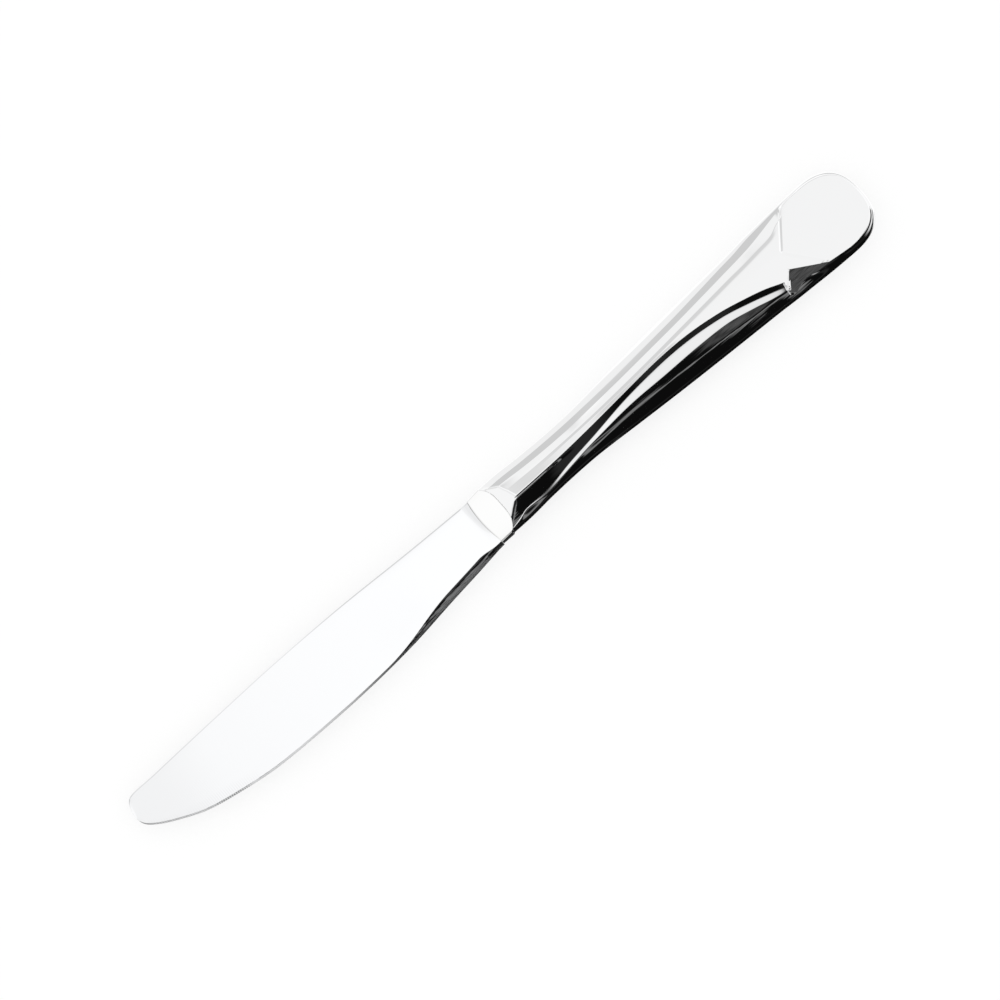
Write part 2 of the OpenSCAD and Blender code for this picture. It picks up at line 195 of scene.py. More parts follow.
# Tones round the tent, at angles in degrees from overhead, plus towards the spine's side
beside_handle = [(-180, 0.05), (-158, 0.004), (-85, 0.004), (-77, 0.02), (-69, 0.02), (-63, 0.004),
                 (-45, 0.004), (-42.5, 0.2), (-38, 0.2), (-35.5, 0.004), (-27, 0.004), (-24.5, 0.012),
                 (-23, 0.09), (-21.5, 0.012), (-19.5, 0.1), (-18, 0.02), (-15.5, 0.05), (-12, 0.8),
                 (-8, 0.94), (-3, 1), (12, 1), (18, 0.985), (20.5, 0.95), (23.5, 0.74), (29, 0.72),
                 (36, 0.985), (60, 0.985), (65, 0.67), (80, 0.67), (84, 0.955), (105, 0.955), (112, 1.1)]
beside_blade = [(-180, 0.05), (-152, 0.05), (-142, 0.2), (-92, 0.3), (-78, 0.75), (-50, 0.8), (-44, 0.02),
                (-17, 0.02), (-12, 0.85), (-6, 1), (24, 1), (32, 0.88), (84, 0.84), (95, 0.95)]
beyond_blade = [(-180, 0.5), (-20, 0.6), (-5, 1), (30, 1), (48, 0.78), (70, 0.58), (88, 0.6), (104, 0.92),
                (122, 1)]
beyond_handle = [(-180, 1.04), (-150, 1.04), (-135, 0.004), (-88, 0.004), (-78, 0.42), (-58, 0.5),
                 (-42, 0.95), (-12, 1.05), (40, 1.05), (56, 0.72), (72, 0.55), (88, 0.6), (104, 0.95),
                 (122, 1.04)]
# What these are multiplied by along the tent, in metres from the knife's middle, plus towards the butt
lengthwise = [(-1, 0.66), (-0.8, 0.72), (-0.62, 0.99), (-0.4, 0.99), (-0.34, 0.9), (-0.26, 0.89),
              (-0.2, 0.955), (-0.17, 0.965), (-0.148, 1.03), (-0.1, 1.055), (-0.05, 1.075), (-0.012, 1.075),
              (0.004, 0.975), (0.2, 0.97), (0.29, 0.97), (0.38, 1.06), (1, 1)]
place = place_parts()
overhead = math_node("MULTIPLY", math_node("ARCTAN2", place["Y"], place["Z"]), degrees(1))
along = place["X"]
past_blade = map_range(along, -0.5, -0.42, 1, 0)
# The handle's tones begin near the bolster, above the horizontal further towards the blade than below it
card_end = map_range(overhead, -92, -80, -0.02, -0.075)
on_handle = map_range(math_node("SUBTRACT", along, card_end), -0.02, 0.02, 0, 1)
past_handle = map_range(along, 0.33, 0.5, 0, 1)
tones = tone_ramp(overhead, -180, 180, beside_blade)
for share, stops in ((past_blade, beyond_blade), (on_handle, beside_handle), (past_handle, beyond_handle)):
    tones = mixed(share, tones, tone_ramp(overhead, -180, 180, stops))
shaded = mixed(1, tones, tone_ramp(along, -1, 1, lengthwise), "MULTIPLY")
shine = nodes.new("ShaderNodeEmission")
surface = nodes.new("ShaderNodeOutputMaterial")
links.new(shaded, shine.inputs["Color"])
links.new(shine.outputs[0], surface.inputs["Surface"])
tent.data.materials.append(cloth)
tent.visible_camera = False
tent.visible_diffuse = False
tent.visible_transmission = False
tent.visible_volume_scatter = False
tent.visible_shadow = False

# Front handle shell: the upper half of the hollow handle, pressed from sheet steel with a swept ridge, a
# crescent beside it and a flat pad at the butt, then ground and mirror-polished. Its rim is brazed to the
# back shell's.
knife_length = 222
half_width = 10.4
half_thickness = 4.5
handle_x = 109.2
handle_length = knife_length - handle_x
shell_wall = 0.75
# Lengths from here on are in millimetres: x from the blade's tip, y from the knife's middle line and plus
# towards the spine, and z from the plane between the two shells. This brings them into the frame.
middle_shift = 0.65
into_frame = Vector((-knife_length / 2, middle_shift, half_thickness))
# Half the thickness of the braze between the shells' rims
seam_height = 0.06
# The shells' mouth is bowed like the bolster's rear
mouth_x = 111.6
rear_bow = 2.4
rear_bow_power = 3.5
bolster_width = 13.3
# The butt's outline is a blunt half oval
butt_round = 11
butt_x = knife_length - butt_round
butt_power = 2.6
# The pad falls from its point to the butt
pad_x, pad_y = 198.5, 0.7
pad_length = 22.5
pad_thickness, pad_end_thickness = 5.8, 3


def curve(xs, ys, x):
    """A smooth curve through given points."""
    i = max(k for k in range(len(xs) - 1) if k == 0 or xs[k] <= x)
    w = xs[i + 1] - xs[i]
    t = (x - xs[i]) / w

    def slope(k):
        a, b = max(k - 1, 0), min(k + 1, len(xs) - 1)
        return (ys[b] - ys[a]) / (xs[b] - xs[a])

    return (ys[i] * (2 * t ** 3 - 3 * t * t + 1) + ys[i + 1] * (3 * t * t - 2 * t ** 3)
            + w * slope(i) * (t ** 3 - 2 * t * t + t) + w * slope(i + 1) * (t ** 3 - t * t))


# Stations along the handle as shares of its length, with its width and height there as shares of the
# greatest ones. Every table below has a value for each station.
stations = [0, 0.021, 0.054, 0.11, 0.182, 0.244, 0.347, 0.449, 0.531,
            0.614, 0.675, 0.716, 0.753, 0.796, 0.82, 0.84, 0.856, 0.903]
widths = [0.64, 0.64, 0.635, 0.596, 0.577, 0.587, 0.668, 0.745, 0.798,
          0.846, 0.88, 0.904, 0.933, 0.957, 0.971, 0.981, 0.988, 1]
heights = [0.77, 0.78, 0.8, 0.822, 0.856, 0.889, 0.956, 1, 0.989,
           0.918, 0.818, 0.75, 0.692, 0.643, 0.622, 0.603, 0.588, 0.54]
# Spine side: how far in from the outline, in millimetres, the side flat's top and the two edges of the
# sloping stripe lie, and the slopes, in degrees, of the side flat, of the flat above it and of the stripe
side_inset = [0.2, 0.2, 0.2, 0.2, 0.22, 0.3, 0.52, 0.95, 0.92,
              0.75, 0.68, 0.6, 0.48, 0.42, 0.4, 0.37, 0.36, 0.34]
stripe_outer = [1.85, 1.8, 1.76, 1.68, 1.66, 1.72, 2.25, 2.42, 2.4,
                2.0, 1.6, 1.43, 1.05, 0.88, 0.8, 0.74, 0.7, 0.6]
stripe_inner = [3.3, 3.28, 3.26, 3.32, 3.36, 3.35, 3.88, 4.05, 4.03,
                3.75, 3.48, 3.3, 3.1, 2.4, 1.9, 1.4, 0.96, 0.85]
side_slopes = [52, 52, 52, 52, 52, 52, 52, 52, 52,
               52, 52, 52, 51.5, 56.3, 58.1, 60.9, 61.9, 64]
rim_slopes = [45, 45, 45, 45, 45, 44, 43, 40, 40.5,
              41.3, 41.3, 39, 44, 44, 45, 46, 46, 55]
stripe_slopes = [30, 30, 30, 31, 32, 33, 34, 34, 33,
                 32, 31, 30, 28, 28, 29, 30, 32, 34]
# Top: the places of its creases as shares of the half width, the crown's height as a share of the half
# thickness, and the slopes of the flats on either side of the soft crease
bend_places = [0.205, 0.205, 0.2, 0.19, 0.186, 0.19, 0.206, 0.262, 0.325,
               0.388, 0.43, 0.447, 0.475, 0.52, 0.63, 0.7, 0.86, 0.88]
soft_places = [0.06, 0.06, 0.06, 0.06, 0.07, 0.075, 0.1, 0.155, 0.205,
               0.265, 0.32, 0.35, 0.38, 0.42, 0.5, 0.58, 0.79, 0.808]
crown_places = [0.04, 0.04, 0.04, 0.04, 0.045, 0.06, 0.09, 0.14, 0.15,
                0.14, 0.11, 0.09, 0.08, 0.05, 0.04, 0.03, 0.02, 0]
crown_heights = [0.956, 0.956, 0.956, 0.96, 0.973, 0.98, 0.976, 0.98, 0.99,
                 0.992, 0.996, 1, 1, 1, 1, 1, 1, 1]
soft_slopes = [6.5, 6.5, 6.5, 6.5, 6.6, 6.6, 6.6, 6.6, 6.6,
               6.6, 6.6, 6.6, 6.4, 6, 3, 3, 3, 3]
crown_slopes = [6.5, 6.5, 6.5, 6, 4.5, 1.5, 1.5, 1.5, 1.5,
                1.5, 1.5, 1.5, 1.5, 1.5, 1.5, 1.5, 1.5, 1.5]
# Past the crown: the swept ridge, the step below it, and the flute and the brow of the crescent, as shares
# of the half width and of the half thickness
ridge_places = [-0.165, -0.168, -0.174, -0.185, -0.176, -0.129, -0.018, 0.065, 0.046,
                -0.086, -0.25, -0.38, -0.536, -0.66, -0.7, -0.73, -0.75, -0.808]
ridge_heights = [1, 1, 1, 1, 1, 1, 1, 1, 1,
                 1, 1, 0.985, 0.955, 0.943, 0.948, 0.955, 0.96, 0.96]
step_places = [-0.87, -0.8, -0.695, -0.73, -0.55, -0.415, -0.165, -0.065, -0.082,
               -0.205, -0.383, -0.52, -0.62, -0.715, -0.77, -0.81, -0.83, -0.88]
step_heights = [0.33, 0.36, 0.425, 0.385, 0.5, 0.575, 0.72, 0.8, 0.8,
                0.78, 0.76, 0.75, 0.73, 0.87, 0.92, 0.95, 0.953, 0.885]
flute_places = [-0.9, -0.84, -0.73, -0.83, -0.7, -0.57, -0.407, -0.396, -0.379,
                -0.415, -0.557, -0.67, -0.727, -0.77, -0.83, -0.86, -0.88, -0.918]
flute_heights = [0.325, 0.35, 0.415, 0.345, 0.455, 0.53, 0.653, 0.699, 0.703,
                 0.7, 0.68, 0.67, 0.64, 0.7, 0.72, 0.76, 0.78, 0.6]
brow_places = [-0.915, -0.87, -0.75, -0.845, -0.79, -0.738, -0.604, -0.632, -0.639,
               -0.67, -0.71, -0.739, -0.763, -0.8, -0.86, -0.905, -0.92, -0.942]
brow_heights = [0.29, 0.32, 0.385, 0.315, 0.36, 0.415, 0.514, 0.527, 0.538,
                0.545, 0.564, 0.6, 0.588, 0.6, 0.58, 0.57, 0.56, 0.523]
# Edge side: how far in from the outline the side flat's top lies
far_side_inset = [0.5, 0.5, 0.5, 0.5, 0.5, 0.5, 0.5, 0.5, 0.5,
                  0.5, 0.5, 0.5, 0.48, 0.42, 0.4, 0.37, 0.36, 0.34]
far_side_level = 0.9
# Both sides: the first bend above the seam
rim_inset, rim_level = 0.12, 0.45
# A narrow lip lies just under the ridge near the bolster, and further on runs out into the step
foot_from_ridge = Vector((-0.16, -0.15))
lip_from_ridge = Vector((-0.55, -0.242))
lip_fades_from, lip_fades_over = 0.13, 0.1
# How softly each crease is rounded, from the spine side's rim to the other one, on the handle and at the
# butt
crease_softness = [0.1, 0.2, 0.12, 0.12, 0.16, 0.4, 0.6, 0.08, 0.05, 0.07, 0.06, 0.1, 0.3, 0.2, 0.1]
butt_softness = [0.1, 0.2, 0.06, 0.1, 0.2, 0.3, 0.3, 0.3, 0.3, 0.3, 0.2, 0.1, 0.06, 0.2, 0.1]
# Into how many parts each flat between two creases is divided
flat_parts = [1, 1, 3, 4, 5, 5, 5, 6, 6, 5, 5, 5, 4, 3, 1, 1]


def pad_height(x):
    """The height of the pad's flat."""
    return (pad_thickness + (pad_end_thickness - pad_thickness) * (x - pad_x) / pad_length) / 2


def eased(t):
    """A smooth step from 0 to 1."""
    t = min(max(t, 0), 1)
    return t * t * (3 - 2 * t)


def handle_section(s):
    """The corner points of the shell's section at a share of the handle's length, spine side first."""

    def at(table):
        return curve(stations, table, s)

    def climb(run, slopes):
        """How far a flat rises over its run."""
        return run * tan(radians(at(slopes)))

    w = half_width * at(widths)
    top = half_thickness * at(heights)
    side_w = at(side_inset)
    side_z = rim_level + climb(side_w - rim_inset, side_slopes)
    out_y = w - at(stripe_outer)
    in_y = w - at(stripe_inner)
    bend_y = w * at(bend_places)
    soft_y = w * at(soft_places)
    crown_y = w * at(crown_places)
    crown_z = top * at(crown_heights)
    out_z = side_z + climb(w - side_w - out_y, rim_slopes)
    in_z = out_z + climb(out_y - in_y, stripe_slopes)
    soft_z = crown_z - climb(soft_y - crown_y, crown_slopes)
    bend_z = soft_z - climb(bend_y - soft_y, soft_slopes)
    ridge = Vector((w * at(ridge_places), top * at(ridge_heights)))
    step = Vector((w * at(step_places), top * at(step_heights)))
    fade = eased((s - lip_fades_from) / lip_fades_over)
    foot = (ridge + foot_from_ridge).lerp(ridge.lerp(step, 0.25), fade)
    lip = (ridge + lip_from_ridge).lerp(ridge.lerp(step, 0.5), fade)
    flute = (w * at(flute_places), top * at(flute_heights))
    brow = (w * at(brow_places), top * at(brow_heights))
    return [(w, seam_height), (w - rim_inset, rim_level), (w - side_w, side_z), (out_y, out_z),
            (in_y, in_z), (bend_y, bend_z), (soft_y, soft_z), (crown_y, crown_z), tuple(ridge),
            tuple(foot), tuple(lip), tuple(step), flute, brow, (at(far_side_inset) - w, far_side_level),
            (rim_inset - w, rim_level), (-w, seam_height)]


# Lines round the butt, from the rim inwards: how far in each lies, its height, and the share that it rises
# of the way from the side flat's top to the pad. At the very end the insets are narrower by a share.
butt_lines = [(0, seam_height, 0), (rim_inset, rim_level, 0), (0.34, far_side_level, 0),
              (0.6, far_side_level, 0.3), (0.85, far_side_level, 0.45), (1.25, far_side_level, 1.03),
              (2, far_side_level, 1.1)]
end_inset_share = 0.5
# The middle of the sheet is drawn a little higher than the pad, whose flat then trims it
above_pad = 0.05


def butt_section(turn):
    """The same corners round the end of the butt, where the rim's lines follow the outline."""
    side = []
    for inset, level, rise in butt_lines:
        x = butt_x + (butt_round - inset * end_inset_share) * max(cos(turn), 0) ** (2 / butt_power)
        y = (half_width - inset) * max(sin(turn), 0) ** (2 / butt_power)
        side.append((x, y, level + (pad_height(x) - far_side_level) * rise))
    x, y, z = side[-1]
    middle = [(x, y * share, z + above_pad) for share in (0.5, 0, -0.5)]
    return side + middle + [(x, -y, z) for x, y, z in reversed(side)]


# A rounded crease takes up no more than this share of the flats beside it
most_of_flat = 0.45


def softened(corners, softness, steps, parts):
    """A line of corners with each one rounded off and the flats between them divided."""
    corners = [Vector(c) for c in corners]
    line = [corners[0]]
    for k in range(1, len(corners)):
        p = corners[k]
        is_last = k == len(corners) - 1
        begin = p
        if not is_last:
            a, b = corners[k - 1], corners[k + 1]
            reach = min(softness[k - 1], (a - p).length * most_of_flat, (b - p).length * most_of_flat)
            begin = p + (a - p).normalized() * reach
            end = p + (b - p).normalized() * reach
        last = line[-1]
        n = parts[k - 1]
        line += [last.lerp(begin, i / n) for i in range(1, n + 1)]
        if not is_last:
            for i in range(1, steps + 1):
                t = i / steps
                line.append(begin * (1 - t) ** 2 + p * 2 * t * (1 - t) + end * t ** 2)
    return line


def lower_of(a, b, blur):
    """The lower of two heights, run together smoothly where they cross."""
    h = max(blur - abs(a - b), 0) / blur
    return min(a, b) - h * h * blur / 4


def mouth_rear(y):
    """Where the shells' mouth meets the bolster."""
    return mouth_x - rear_bow * abs(2 * y / bolster_width) ** rear_bow_power


# The sheet starts square and is drawn back to the bowed mouth over its first few millimetres
sheet_start = handle_x - 0.02
mouth_reach = 6
# The hip: a facet that rises from the bolster until it meets the relief
hip_z = 2.2
hip_top_share = 0.8
hip_rise = half_thickness * hip_top_share - hip_z
hip_length = 3.7
hip_blur = 0.14
# The ridge ends at a bent fold between the pad's point and the notch: a point on each of the fold's two
# lines, with the line's way. The fold stops short of the notch's foot.
ridge_end = radians(50)
ridge_folds = [(199, 0.7, cos(ridge_end), sin(ridge_end)), (194.25, -5, 0.225, 0.974)]
fold_width = 0.5
fold_foot_y, fold_foot_width = -7.75, 0.35
# Past the fold lies one flat facet, and below it a flank that steepens towards the butt
facet_end = 206
facet_z, facet_fall, facet_tilt = 2.9, 0.033, 0.022
flank_x, flank_y, flank_z = 193.6, -9.27, 0.9
flank_turn, flank_slope, flank_twist = 0.047, 1.07, 0.026
pad_blur = 0.014


def trimmed(p):
    """A point of the relief, brought down to the hip, the facet past the ridge and the pad's flat."""
    x, y, z = p
    x += (mouth_rear(y) - sheet_start) * max(0, 1 - (x - sheet_start) / mouth_reach)
    z = lower_of(z, hip_z + (x - mouth_x) * hip_rise / hip_length, hip_blur)
    beyond = min((x - at_x) * way_y - (y - at_y) * way_x for at_x, at_y, way_x, way_y in ridge_folds)
    past = eased(beyond / fold_width + 0.5) * eased((y - fold_foot_y) / fold_foot_width)
    if y < pad_y and past > 0 and x < facet_end:
        facet = facet_z - facet_fall * (x - pad_x) + facet_tilt * (y - pad_y)
        flank_rise = flank_slope + flank_twist * (x - flank_x)
        flank = flank_z + (y - flank_y + flank_turn * (x - flank_x)) * flank_rise
        z = z + (min(facet, max(flank, z)) - z) * past
    return Vector((x, y, lower_of(z, pad_height(x), pad_blur) if z > seam_height else z))


row_pace, fine_pace = 0.34, 0.11
fine_from, fine_to = 191, 196.5
butt_rows = 44
crease_steps = 3
handle_rows = []
x = handle_x
while x < handle_x + stations[-1] * handle_length:
    corners = [(x, y, z) for y, z in handle_section((x - handle_x) / handle_length)]
    line = softened(corners, crease_softness, crease_steps, flat_parts)
    handle_rows.append([trimmed(p) for p in line])
    x += fine_pace if fine_from < x < fine_to else row_pace
for j in range(butt_rows + 1):
    turn = (pi / 2) * (1 - j / butt_rows)
    # The first quarter of the turn carries the creases' softness over to the butt's
    share = min(1, 4 * j / butt_rows)
    softness = [a + (b - a) * share for a, b in zip(crease_softness, butt_softness)]
    line = softened(butt_section(turn), softness, crease_steps, flat_parts)
    handle_rows.append([trimmed(p) for p in line])


def drawn_sheet(name, rows):
    """A flat grid whose lines are drawn up to the given rows, as a sheet is pressed over a die."""
    bpy.ops.object.select_all(action="DESELECT")
    along, around = len(rows) - 1, len(rows[0]) - 1
    bpy.ops.mesh.primitive_grid_add(x_subdivisions=along, y_subdivisions=around, size=1, location=(0, 0, 0))
    sheet = bpy.context.object
    sheet.name = name
    sheet.data.name = name
    for v in sheet.data.vertices:
        j = round((v.co.x + 0.5) * along)
        k = round((0.5 - v.co.y) * around)
        v.co = (rows[j][k] + into_frame) * mm
    return sheet


front_shell = drawn_sheet("front_handle_shell_polished", handle_rows)
# Polishing marks, shared by every polished piece: fine lines along the knife and wider, softer ones between
marks = bpy.data.node_groups.new("polishing_marks", "ShaderNodeTree")
marks.interface.new_socket("Height", in_out="OUTPUT", socket_type="NodeSocketFloat")
marks.interface.new_socket("Roughness", in_out="OUTPUT", socket_type="NodeSocketFloat")
work_in(marks)


def stretched_noise(along, across, detail):
    """Noise in cells of their own length along and across the knife; the numbers are cells to a metre."""
    mapping = nodes.new("ShaderNodeMapping")
    mapping.inputs["Scale"].default_value = (along, across, across)
    links.new(place_on_piece(), mapping.inputs["Vector"])
    noise = nodes.new("ShaderNodeTexNoise")
    noise.inputs["Scale"].default_value = 1
    noise.inputs["Detail"].default_value = detail
    links.new(mapping.outputs[0], noise.inputs["Vector"])
    return noise.outputs["Fac"]


# How deep the polishing marks are, in millimetres
fine_depth = 0.00012
soft_depth, deep_depth = 0.0009, 0.02
fine = math_node("MULTIPLY", stretched_noise(along=160, across=9000, detail=3), fine_depth)
soft = stretched_noise(along=45, across=1400, detail=2)
# The wheel left deeper lines on the steep faces down the cutting edge's side than on the broad ones
upright = nodes.new("ShaderNodeSeparateXYZ")
links.new(nodes.new("ShaderNodeNewGeometry").outputs["Normal"], upright.inputs[0])
steep = map_range(math_node("ABSOLUTE", upright.outputs["Z"]), 0.975, 0.93, 0, 1)
low_side = map_range(place_parts()["Y"], -1 * mm, -3 * mm, 0, 1)
depth = map_range(math_node("MULTIPLY", steep, low_side), 0, 1, soft_depth, deep_depth)
height = math_node("ADD", fine, math_node("MULTIPLY", soft, depth))
wear = map_range(stretched_noise(along=90, across=700, detail=4), 0.35, 0.75, 0.022, 0.05)
out = nodes.new("NodeGroupOutput")
links.new(height, out.inputs["Height"])
links.new(wear, out.inputs["Roughness"])


def set_relief(shader, height, scale=mm):
    """Let a shader's surface rise and fall by a height, in millimetres."""
    relief = nodes.new("ShaderNodeBump")
    relief.name = "relief"
    relief.inputs["Strength"].default_value = 1
    relief.inputs["Distance"].default_value = scale
    links.new(height, relief.inputs["Height"])
    links.new(relief.outputs["Normal"], shader.inputs["Normal"])


def polished(name, tint, scale=mm):
    """A polished stainless steel with the shared polishing marks on it."""
    material = new_material(name)
    polish = nodes["Principled BSDF"]
    polish.inputs["Base Color"].default_value = tint
    polish.inputs["Metallic"].default_value = 1
    group = nodes.new("ShaderNodeGroup")
    group.name = "marks"
    group.node_tree = marks
    set_relief(polish, group.outputs["Height"], scale)
    links.new(group.outputs["Roughness"], polish.inputs["Roughness"])
    return material


steel = polished("handle_mirror_steel", (0.93, 0.932, 0.935, 1))
notch_steel = steel.copy()
notch_steel.name = "notch_steel"
# The pad is edged by two fine pressed lines that meet at its point. Each has an end, a width on its steep
# side, and how many times as wide its gentle side is. The notch's steel is without them.
pad_line_depth = 0.07
pad_lines = [((205.2, 9.1), 0.38, 1.3), ((205.4, -8.2), 0.36, 2.2)]
pad_point = Vector((pad_x, pad_y)) + into_frame.xy
place = place_parts()
from_x = math_node("SUBTRACT", math_node("MULTIPLY", place["X"], 1 / mm), pad_point.x)
from_y = math_node("SUBTRACT", math_node("MULTIPLY", place["Y"], 1 / mm), pad_point.y)
grooves = []
for end, width, gentle_share in pad_lines:
    way = Vector(end) + into_frame.xy - pad_point
    reach = way.length
    way.normalize()
    ahead = math_node("ADD", math_node("MULTIPLY", from_x, way.x), math_node("MULTIPLY", from_y, way.y))
    aside = math_node("ADD", math_node("MULTIPLY", from_x, -way.y), math_node("MULTIPLY", from_y, way.x))
    begun, ended = map_range(ahead, -0.3, 0.3, 0, 1), map_range(ahead, reach - 0.5, reach, 1, 0)
    steep = map_range(aside, 0, width, 1, 0)
    gentle = map_range(aside, -gentle_share * width, 0, 0, 1)
    depth = math_node("MULTIPLY", math_node("MULTIPLY", begun, ended), -pad_line_depth)
    grooves.append(math_node("MULTIPLY", math_node("MINIMUM", steep, gentle), depth))
relief_height = math_node("ADD", nodes["marks"].outputs["Height"], math_node("MINIMUM", *grooves))
links.new(relief_height, nodes["relief"].inputs["Height"])
front_shell.data.materials.append(steel)
cap_paint = bpy.data.materials.new("cap_for_cutting")
front_shell.data.materials.append(cap_paint)
cap_slot = 1
# Close the mouth and the seam side for a moment, so that the notch is cut as out of a solid
merge_gap = 0.001 * mm
bpy.ops.object.mode_set(mode="EDIT")
bpy.ops.mesh.select_mode(type="VERT")
bpy.ops.mesh.select_all(action="SELECT")
bpy.ops.mesh.remove_doubles(threshold=merge_gap)
bpy.ops.mesh.select_all(action="DESELECT")
bpy.ops.object.mode_set(mode="OBJECT")
mouth_line = [(p + into_frame) * mm for p in handle_rows[0]]
for v in front_shell.data.vertices:
    v.select = any((v.co - p).length < 2 * merge_gap for p in mouth_line)
bpy.ops.object.mode_set(mode="EDIT")
bpy.ops.mesh.edge_face_add()
front_shell.active_material_index = cap_slot
bpy.ops.object.material_slot_assign()
bpy.ops.mesh.select_all(action="DESELECT")
bpy.ops.mesh.select_non_manifold()
bpy.ops.mesh.edge_face_add()
bpy.ops.object.material_slot_assign()
bpy.ops.mesh.select_all(action="SELECT")
bpy.ops.mesh.normals_make_consistent(inside=False)
bpy.ops.object.mode_set(mode="OBJECT")


def pick(piece):
    """Make a piece the only one selected, and the active one."""
    bpy.ops.object.select_all(action="DESELECT")
    bpy.context.view_layer.objects.active = piece
    piece.select_set(True)


def combine(piece, operation, tool, material_mode="INDEX"):
    """Cut a tool out of a piece, or join it on, and throw the tool away."""
    pick(piece)
    step = piece.modifiers.new("step", "BOOLEAN")
    step.operation = operation
    step.solver = "EXACT"
    step.material_mode = material_mode
    step.object = tool
    bpy.ops.object.modifier_apply(modifier="step")
    bpy.data.objects.remove(tool)


# The notch beside the pad: a sloping floor through three points with a wall on one side, and the wall's top
# edge broken by a second, narrow cut. Each cut is a block with a corner, its way along, up and its size.
notch_foot = Vector((193.6, -7.36, 1.4))
notch_point = Vector((197.1, -3.65, 2.85))
notch_end = Vector((205.4, -8.66, 2.47))
notch_block = (40, 25, 9)
wall_way = (notch_point - notch_foot).normalized()
floor_up = (notch_end - notch_foot).cross(wall_way).normalized()
outwards = floor_up.cross(wall_way)
edge_start = Vector((193.6, -7.36, 2.9))
edge_way = Vector((3.5, 3.71, -0.03)).normalized()
edge_lead, edge_reach, edge_lean = 0.1, 0.34, 0.6
edge_up = (Vector((facet_fall, -facet_tilt, 1)) - edge_lean * outwards).normalized()
edge_block = (5.3, 0.4, 3)
cuts = [(notch_foot, wall_way, floor_up, notch_block),
        (edge_start - edge_lead * edge_way + edge_reach * outwards, edge_way, edge_up, edge_block)]
for corner, way, up, size in cuts:
    bpy.ops.object.select_all(action="DESELECT")
    bpy.ops.mesh.primitive_cube_add(size=1)
    block = bpy.context.object
    block.data.materials.append(notch_steel)
    side = up.cross(way).normalized()
    turned = Matrix((way, side, way.cross(side))).transposed().to_4x4()
    placed = Matrix.Translation((size[0] / 2, -size[1] / 2, size[2] / 2)) @ Matrix.Diagonal((*size, 1))
    block.data.transform(Matrix.Scale(mm, 4) @ Matrix.Translation(corner + into_frame) @ turned @ placed)
    combine(front_shell, "DIFFERENCE", block, "TRANSFER")
bpy.ops.object.mode_set(mode="EDIT")
bpy.ops.mesh.select_mode(type="FACE")
bpy.ops.mesh.select_all(action="DESELECT")
front_shell.active_material_index = cap_slot
bpy.ops.object.material_slot_select()
bpy.ops.mesh.delete(type="FACE")
bpy.ops.object.mode_set(mode="OBJECT")
bpy.ops.object.material_slot_remove()
bpy.data.materials.remove(cap_paint)
wall = front_shell.modifiers.new("wall", "SOLIDIFY")
wall.thickness = shell_wall * mm
wall.offset = -1
wall.use_rim = True
bpy.ops.object.modifier_apply(modifier="wall")
for v in front_shell.data.vertices:
    v.co.z = max(v.co.z, (into_frame.z + seam_height) * mm)
bpy.ops.object.shade_smooth_by_angle(angle=radians(35))
notch_slot = front_shell.data.materials.find("notch_steel")
for f in front_shell.data.polygons:
    if f.material_index == notch_slot:
        f.use_smooth = False
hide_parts("front_handle_shell")
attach(front_shell, "root")

# Back handle shell: the lower half, pressed in the same die turned over, with the same relief on its face.
# It is brazed to the front shell round the rim, and is made here as its copy.
pick(front_shell)
bpy.ops.object.duplicate()
back_shell = bpy.context.object
back_shell.name = "back_handle_shell_polished"
back_shell.data.name = back_shell.name
turned_over = Matrix.Translation((0, 0, 2 * into_frame.z * mm)) @ Matrix.Diagonal((1, 1, -1, 1))
back_shell.data.transform(turned_over)
bpy.ops.object.mode_set(mode="EDIT")
bpy.ops.mesh.select_all(action="SELECT")
bpy.ops.mesh.flip_normals()
bpy.ops.object.mode_set(mode="OBJECT")
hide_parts("back_handle_shell")
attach(back_shell, "root")

# Blade: one forging with its tang, of hardened stainless steel. Its faces taper from the spine to a fine
# ground edge with small teeth towards the tip, and near the bolster the edge grows into a blunt heel.
blade_length = 105.2
front_bow = 0.7
tip_inset = 0.06
# Outline: how far the tip, the spine and the edge lie from the middle line
tip_rise, spine_rise, edge_drop = 1.7, 7.8, 11.7
spine_places = [0, 0.087, 0.151, 0.3, 0.556, 0.664, 0.797, 0.915, 1]
spine_shares = [0, 0.64, 0.845, 0.87, 0.965, 1, 0.95, 0.78, 0.68]
edge_places = [0, 0.087, 0.151, 0.26, 0.365, 0.47, 0.556, 0.664, 0.757, 0.84, 0.915, 0.962, 1]
edge_shares = [0, 0.172, 0.284, 0.493, 0.715, 0.866, 0.961, 0.996, 0.99, 0.929, 0.806, 0.731, 0.657]
# Thicknesses, and the widths of the bevels along the edge and of the chamfers along the spine
tip_thickness, spine_thickness, root_thickness, root_fillet = 1, 2.2, 3, 1.9
bevel_thickness, bevel_width, edge_thickness = 0.8, 0.45, 0.08
bevel_root_share = 0.1
heel_thickness, heel_width, heel_from, heel_over = 1.8, 2, 0.64, 0.2
chamfer_width, chamfer_drop = 0.36, 0.22
# Where the blade is narrower than this, at the nose, its bevels and chamfers are narrower alike
full_reach = 4
# The bevel bends twice on its way down to the edge. Each bend has a width and a share of the thickness on
# the thin blade, and on the heel a share of the heel's width and a drop from its face.
bevel_bends = [(0.3, 0.75, 0.7, 0.195), (0.15, 0.45, 0.225, 0.66)]
bevel_softness, heel_softness = 0.01, 0.12
spine_softness, edge_softness = [0.05, 0.08, 0.03], 0.02
blade_parts = [2, 1, 6, 1, 1, 1, 1]
# The heel narrows by a share over its last stretch before the bolster
heel_narrowing, narrowing_length = 0.55, 6
# The teeth start just behind the tip, and fade out before the middle of the blade
tooth_pitch, tooth_depth = 0.55, 0.09
teeth_from, teeth_to = 1, 34
teeth_grow, teeth_fade = 3, 14


